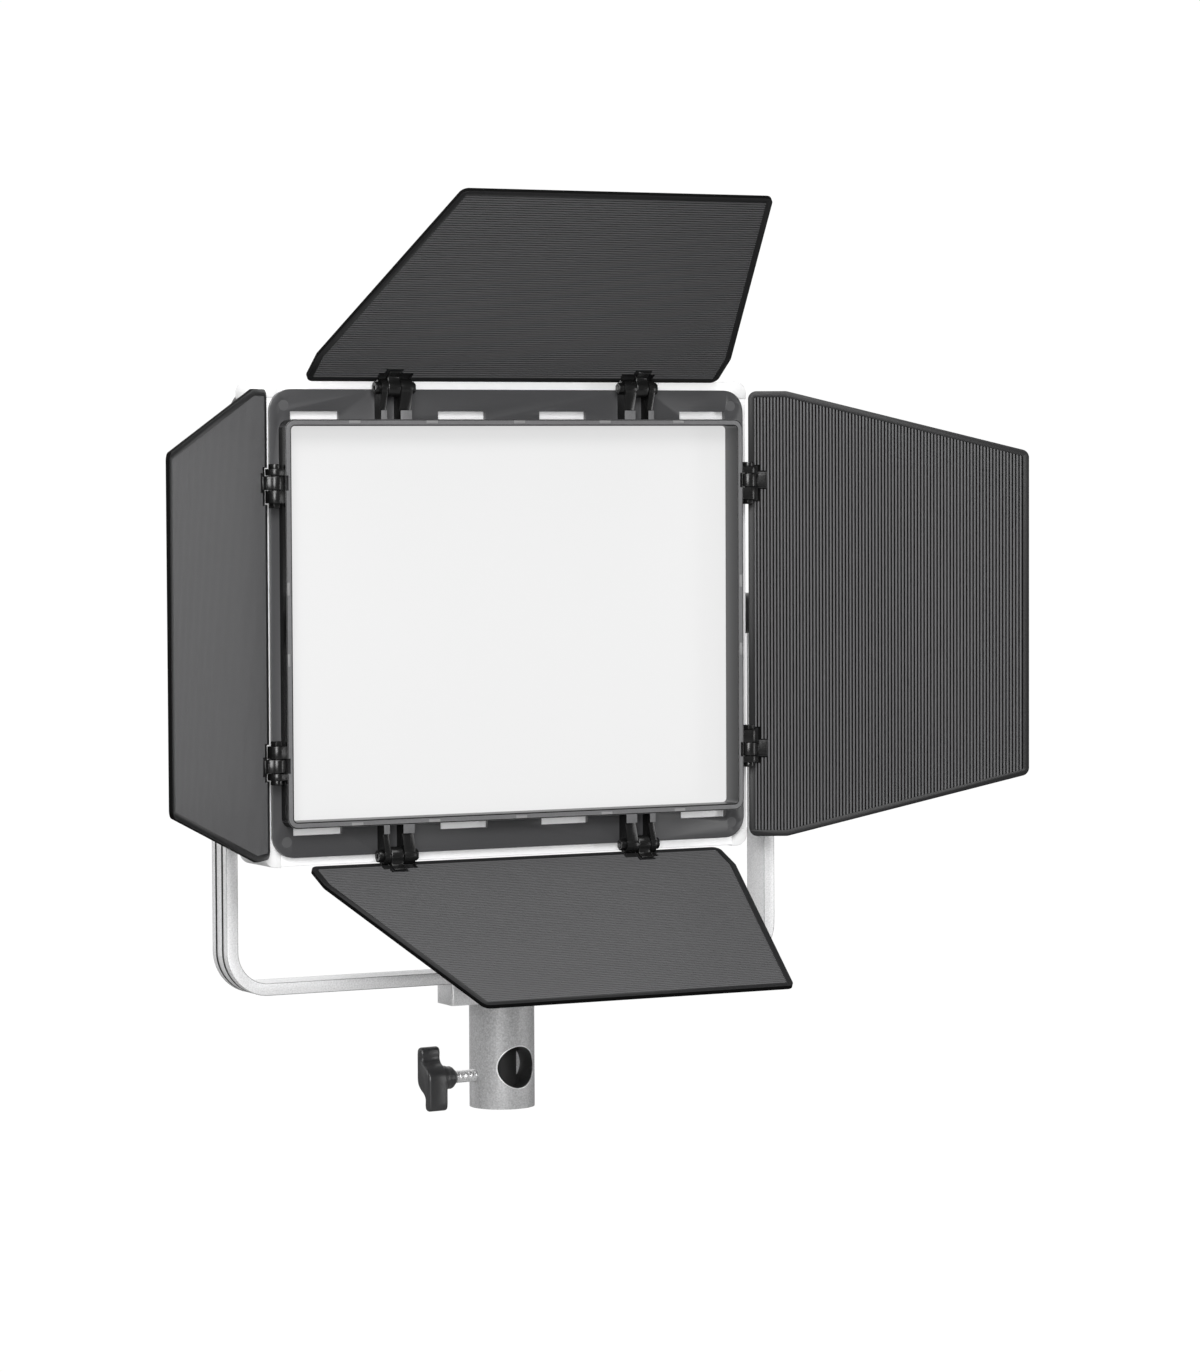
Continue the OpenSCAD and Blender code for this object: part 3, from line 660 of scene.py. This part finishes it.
def on_rim_side(face):
    """The rim's outer wall and the rounded edges round its front, painted near-black as shade."""
    c = face.center - head_centre
    outside = abs(abs(c.x) - rim_out[0]) < 0.6 * mm or abs(abs(c.z) - rim_out[1]) < 0.6 * mm
    wall = outside and abs(face.normal.y) < 0.3 and c.y < -0.6 * mm
    edge = c.y < -7.0 * mm and 0.03 < abs(face.normal.y) < 0.97
    corner = math.hypot(max(abs(c.x) - rim_out[0] + 5 * mm, 0), max(abs(c.z) - rim_out[1] + 5 * mm, 0))
    rounded = abs(corner - 5 * mm) < 0.6 * mm and abs(face.normal.y) < 0.3 and c.y < -0.6 * mm
    return wall or edge or rounded


def on_inner_wall(face):
    """The rim's inside, beside the panel, painted darker than the moulding as shade."""
    c = face.center - head_centre
    inside = abs(abs(c.x) - light_half[0]) < 0.3 * mm or abs(abs(c.z) - light_half[1]) < 0.3 * mm
    return inside and abs(face.normal.y) < 0.3


repaint(moulding, gloss_black_and_painted_shade, on_ear)
# Painted shade: the rim's outer wall, rounded corners and front edges get the near-black gloss where shade
# falls.
repaint(moulding, gloss_black_and_painted_shade, on_rim_side)
# Painted shade: the rim's inside gets a darker copy of the frame plastic.
repaint(moulding, finish("inner_wall", (0.022, 0.022, 0.023), 0.34, 2400), on_inner_wall)
repaint(moulding, lip_plastic, lambda face: face.normal.y < -0.99
        and abs(face.center.y - rim_front) < 0.1 * mm)
recoat("frame_magnets", finish("magnet_face", (0.075, 0.075, 0.077), 0.35, 2000, spread=0.1))
clip_plastic = finish("clip_plastic", (0.22, 0.22, 0.22), 0.35, 2400)
eased("frame_clips", "rim_clips", clip_plastic, "head", 0.0002)


def edge_bead(name, width, height, corner, front, radius):
    """A round black bead along the edge of a rounded rectangle: a painted line of edge shade."""
    path = []
    for k, (sx, sz) in enumerate(((1, 1), (-1, 1), (-1, -1), (1, -1))):
        for i in range(9):
            a = math.radians(90 * k + 90 * i / 8)
            out = Vector((math.cos(a), 0, math.sin(a)))
            pivot = head_centre + Vector((sx * (width / 2 - corner), front, sz * (height / 2 - corner)))
            path.append((pivot + out * corner, out))
    round_bead(name, path, radius, True, gloss_black_and_painted_shade, "head")


# Painted shade: thin black beads along the rim's inner and outer front edges.
edge_bead("rim_inner_edge", 236.1 * mm, 184.3 * mm, 2.2 * mm, -7.45 * mm, 0.3 * mm)
edge_bead("rim_outer_edge", 241.0 * mm, 189.2 * mm, 4.7 * mm, -7.42 * mm, 0.28 * mm)

# ---- barn doors ----
# Each leaf is an injection-moulded plate of dark plastic, 2 mm thick, with a plain
# border round a sunk field. Fine ribs run along the hinge side across the whole field.
hinge_out = {0: 125.1 * mm, 1: 109.6 * mm, 2: 125.1 * mm, 3: 109.6 * mm}
hinge_front = 4.8 * mm
door_turn = {0: 27, 1: 53, 2: 49, 3: 67}


def leaf_place(side):
    return (Matrix.Translation(head_centre) @ Matrix.Rotation(math.radians(-90 * side), 4, "Y")
            @ Matrix.Translation((hinge_out[side], -hinge_front, 0))
            @ Matrix.Rotation(math.radians(-door_turn[side]), 4, "Z"))


def rib_row_tree():
    """Ribs along Z, one pitch apart along X, whose half length runs evenly between two values."""
    tree = bpy.data.node_groups.new("rib_row", "GeometryNodeTree")
    tree_input(tree, "Count", "NodeSocketInt", 10)
    for label, value in (("Start", 0.014), ("Pitch", 0.0016), ("First half length", 0.1),
                         ("Last half length", 0.08), ("Middle", 0.0), ("Depth", 0.004),
                         ("Rib width", 0.0008), ("Rib height", 0.0009)):
        tree_input(tree, label, "NodeSocketFloat", value)
    tree.interface.new_socket("Ribs", in_out="OUTPUT", socket_type="NodeSocketGeometry")
    n, l = tree.nodes, tree.links
    given, result = n.new("NodeGroupInput"), n.new("NodeGroupOutput")
    start = n.new("ShaderNodeCombineXYZ")
    l.new(given.outputs["Start"], start.inputs["X"])
    l.new(given.outputs["Depth"], start.inputs["Y"])
    l.new(given.outputs["Middle"], start.inputs["Z"])
    step = n.new("ShaderNodeCombineXYZ")
    l.new(given.outputs["Pitch"], step.inputs["X"])
    row = n.new("GeometryNodeMeshLine")
    row.mode = "OFFSET"
    l.new(given.outputs["Count"], row.inputs["Count"])
    l.new(start.outputs[0], row.inputs["Start Location"])
    l.new(step.outputs[0], row.inputs["Offset"])
    spine = n.new("GeometryNodeCurvePrimitiveLine")
    spine.inputs["Start"].default_value = (0, 0, -1)
    spine.inputs["End"].default_value = (0, 0, 1)
    section = n.new("GeometryNodeCurvePrimitiveQuadrilateral")
    l.new(given.outputs["Rib height"], section.inputs["Width"])
    l.new(given.outputs["Rib width"], section.inputs["Height"])
    chamfer = n.new("GeometryNodeFilletCurve")
    chamfer.inputs["Radius"].default_value = 0.00014
    l.new(section.outputs["Curve"], chamfer.inputs["Curve"])
    solid = n.new("GeometryNodeCurveToMesh")
    solid.inputs["Fill Caps"].default_value = True
    l.new(spine.outputs["Curve"], solid.inputs["Curve"])
    l.new(chamfer.outputs["Curve"], solid.inputs["Profile Curve"])
    index = n.new("GeometryNodeInputIndex")
    share = n.new("ShaderNodeMapRange")
    l.new(index.outputs[0], share.inputs["Value"])
    l.new(calc(tree, "SUBTRACT", given.outputs["Count"], 1), share.inputs["From Max"])
    l.new(given.outputs["First half length"], share.inputs["To Min"])
    l.new(given.outputs["Last half length"], share.inputs["To Max"])
    size = n.new("ShaderNodeCombineXYZ")
    size.inputs["X"].default_value = size.inputs["Y"].default_value = 1
    l.new(share.outputs["Result"], size.inputs["Z"])
    place = n.new("GeometryNodeInstanceOnPoints")
    l.new(row.outputs["Mesh"], place.inputs["Points"])
    l.new(solid.outputs["Mesh"], place.inputs["Instance"])
    l.new(size.outputs[0], place.inputs["Scale"])
    l.new(place.outputs["Instances"], result.inputs["Ribs"])
    return tree


def ribbed_field_tree(runs):
    """All the ribs of one leaf: the long run, and the short runs between and beside the hinges."""
    row_tree = rib_row_tree()
    tree = bpy.data.node_groups.new("ribbed_field", "GeometryNodeTree")
    ids = {label: tree_input(tree, label, "NodeSocketFloat", value) for label, value in
           (("Pitch", 0.0016), ("Depth", 0.004), ("Rib width", 0.0008), ("Rib height", 0.0009))}
    ids["Material"] = tree_input(tree, "Material", "NodeSocketMaterial")
    tree.interface.new_socket("Ribs", in_out="OUTPUT", socket_type="NodeSocketGeometry")
    n, l = tree.nodes, tree.links
    given, result = n.new("NodeGroupInput"), n.new("NodeGroupOutput")
    join = n.new("GeometryNodeJoinGeometry")
    for start, count, first, final, middle in runs:
        row = n.new("GeometryNodeGroup")
        row.node_tree = row_tree
        row.inputs["Start"].default_value = start
        row.inputs["Count"].default_value = count
        row.inputs["First half length"].default_value = first
        row.inputs["Last half length"].default_value = final
        row.inputs["Middle"].default_value = middle
        for label in ("Pitch", "Depth", "Rib width", "Rib height"):
            l.new(given.outputs[label], row.inputs[label])
        l.new(row.outputs["Ribs"], join.inputs[0])
    close_tree(tree, join.outputs[0], given, result)
    return tree, ids


rib_pitch, rib_width, rib_top, field_floor = 1.6 * mm, 0.78 * mm, 3.46 * mm, 4.4 * mm
taper_start, tip, half_hinge, half_tip, border = 19 * mm, 137.4 * mm, 108.7 * mm, 78.9 * mm, 2.7 * mm
taper = (half_hinge - half_tip) / (tip - taper_start)
first_rib, field_end = taper_start + 0.7 * mm, 134.1 * mm
tapered = int((field_end - first_rib) / rib_pitch) + 1
last_rib = first_rib + (tapered - 1) * rib_pitch


def straight_rows(before, count, half_length, middle=0.0):
    """A run of equal ribs that starts some pitches before the taper's first rib."""
    return (first_rib - before * rib_pitch, count, half_length, half_length, middle)


rib_runs = [
    (first_rib, tapered, half_hinge - border - taper * (first_rib - taper_start),
     half_hinge - border - taper * (last_rib - taper_start), 0.0),
    straight_rows(6, 6, half_hinge - border),
    straight_rows(8, 2, 61.0 * mm),           # between and beside the knuckles' tongues
    straight_rows(8, 2, 17.9 * mm, 88.0 * mm),
    straight_rows(8, 2, 17.9 * mm, -88.0 * mm),
    straight_rows(10, 2, 55.0 * mm),          # clear of the ears
    straight_rows(10, 2, 16.4 * mm, 89.3 * mm),
    straight_rows(10, 2, 16.4 * mm, -89.3 * mm),
]
ribbed_field, rib_ids = ribbed_field_tree(rib_runs)
door_plastic = finish("door_plastic", (0.013, 0.013, 0.0135), 0.40, 2600, spread=0.05, drift=0.05,
                      relief=0.0, Specular_IOR_Level=0.22)
# Painted light: the ribs are the leaf's plastic painted lighter as a highlight, the field floor between
# them darker as shade.
rib_painted_highlight = finish("rib_painted_highlight", (0.085, 0.085, 0.087), 0.38, 1600, spread=0.05, drift=0.04,
                     relief=0.0, Specular_IOR_Level=0.26)
rib_gap_painted_shade = finish("rib_gap_painted_shade", (0.003, 0.003, 0.003), 0.6, 2600, relief=0.0,
                        Specular_IOR_Level=0.03)

for side, word in enumerate(("right", "top", "left", "bottom")):
    place = leaf_place(side)
    leaf = eased(f"{word}_leaf", f"door_{word}", door_plastic, f"{word}_door", 0.00022)
    flat = place.inverted()
    # Painted shade: the sunk field's floor between the ribs.
    repaint(leaf, rib_gap_painted_shade, lambda face: abs((flat @ face.center).y - field_floor) < 0.1 * mm)
    ribs = grown(f"{word}_ribs", ribbed_field,
                 {rib_ids["Pitch"]: rib_pitch, rib_ids["Depth"]: (rib_top + field_floor) / 2 + 0.02 * mm,
                  rib_ids["Rib width"]: rib_width, rib_ids["Rib height"]: field_floor - rib_top + 0.04 * mm,
                  rib_ids["Material"]: rib_painted_highlight}, place)
    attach(ribs, f"{word}_door")

# ---- hinges ----
# Two moulded knuckles on each door swing between the frame's ears. A black steel screw with
# a socket head runs through the ears and the knuckle into a hexagonal nut.
for word in ("right", "top", "left", "bottom"):
    eased(f"{word}_knuckles", f"knuckles_{word}", gloss_black_and_painted_shade, f"{word}_door", 0.0005,
          segments=3)
eased("hinge_bolts", "hinge_screws", gloss_black_and_painted_shade, "head", 0.0004, segments=3)
eased("hinge_hex_nuts", "hinge_nuts", gloss_black_and_painted_shade, "head", 0.0002)

# ---- back cover and controls ----
# Black moulded cover with cooling slots; below them a control panel with a small
# display, two dials, three buttons, a rocker switch and a power inlet.
cover_plastic = finish("cover_plastic", (0.028, 0.028, 0.029), 0.48, 1400, spread=0.2, relief=0.00006,
                       strength=0.6)
eased("back_cover", "rear_cover", cover_plastic, "head", 0.0007, segments=3)
eased("control_plate", "control_panel", satin_black, "head", 0.0003, smooth=20)
eased("dial_left", "dial_brightness", satin_black, "brightness_dial", 0.0006, segments=3)
eased("dial_right", "dial_colour", satin_black, "colour_dial", 0.0006, segments=3)


def knurl_tree():
    """Fine straight ridges standing round a dial."""
    tree = bpy.data.node_groups.new("dial_knurl", "GeometryNodeTree")
    ids = {"Ridges": tree_input(tree, "Ridges", "NodeSocketInt", 48)}
    for label, value in (("Dial radius", 0.008), ("Ridge length", 0.008), ("Ridge width", 0.0005)):
        ids[label] = tree_input(tree, label, "NodeSocketFloat", value)
    ids["Material"] = tree_input(tree, "Material", "NodeSocketMaterial")
    tree.interface.new_socket("Knurl", in_out="OUTPUT", socket_type="NodeSocketGeometry")
    n, l = tree.nodes, tree.links
    given, result = n.new("NodeGroupInput"), n.new("NodeGroupOutput")
    circle = n.new("GeometryNodeMeshCircle")
    l.new(given.outputs["Ridges"], circle.inputs["Vertices"])
    l.new(given.outputs["Dial radius"], circle.inputs["Radius"])
    ridge = n.new("GeometryNodeMeshCylinder")
    ridge.inputs["Vertices"].default_value = 6
    l.new(given.outputs["Ridge width"], ridge.inputs["Radius"])
    l.new(given.outputs["Ridge length"], ridge.inputs["Depth"])
    place = n.new("GeometryNodeInstanceOnPoints")
    l.new(circle.outputs["Mesh"], place.inputs["Points"])
    l.new(ridge.outputs["Mesh"], place.inputs["Instance"])
    close_tree(tree, place.outputs["Instances"], given, result)
    return tree, ids


knurl, knurl_ids = knurl_tree()
cap_length, plain_ends, ridge_width = 9 * mm, 2.4 * mm, 0.26 * mm   # the grip, without its spindle
for word, node in (("brightness", "dial_brightness"), ("colour", "dial_colour")):
    corners = [Vector(v.co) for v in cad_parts[node].data.vertices]
    low = Vector([min(v[k] for v in corners) for k in range(3)])
    high = Vector([max(v[k] for v in corners) for k in range(3)])
    middle = Vector(((low.x + high.x) / 2, high.y - cap_length / 2, (low.z + high.z) / 2))
    knurled = grown(f"{word}_knurl", knurl,
                    {knurl_ids["Ridges"]: 60, knurl_ids["Dial radius"]: (high.x - low.x) / 2 - ridge_width,
                     knurl_ids["Ridge length"]: cap_length - plain_ends,
                     knurl_ids["Ridge width"]: ridge_width * 0.98, knurl_ids["Material"]: satin_black},
                    Matrix.Translation(middle) @ Matrix.Rotation(math.radians(90), 4, "X"))
    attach(knurled, f"{word}_dial")
grey_button = finish("grey_button", (0.12, 0.12, 0.12), 0.45, 2500)
for word in ("mode", "menu", "back"):
    eased(f"{word}_key", f"button_{word}", grey_button, f"{word}_button", 0.0004, segments=3)
eased("rocker_switch", "power_switch", gloss_black_and_painted_shade, "rocker", 0.0004, segments=3)
eased("inlet_barrel", "power_inlet", satin_black, "head", 0.0003)
display_glass = finish("display_glass", (0.008, 0.009, 0.014), 0.08, 400, spread=0.05, relief=0.0,
                       Coat_Weight=0.6)
recoat("display_window", display_glass)
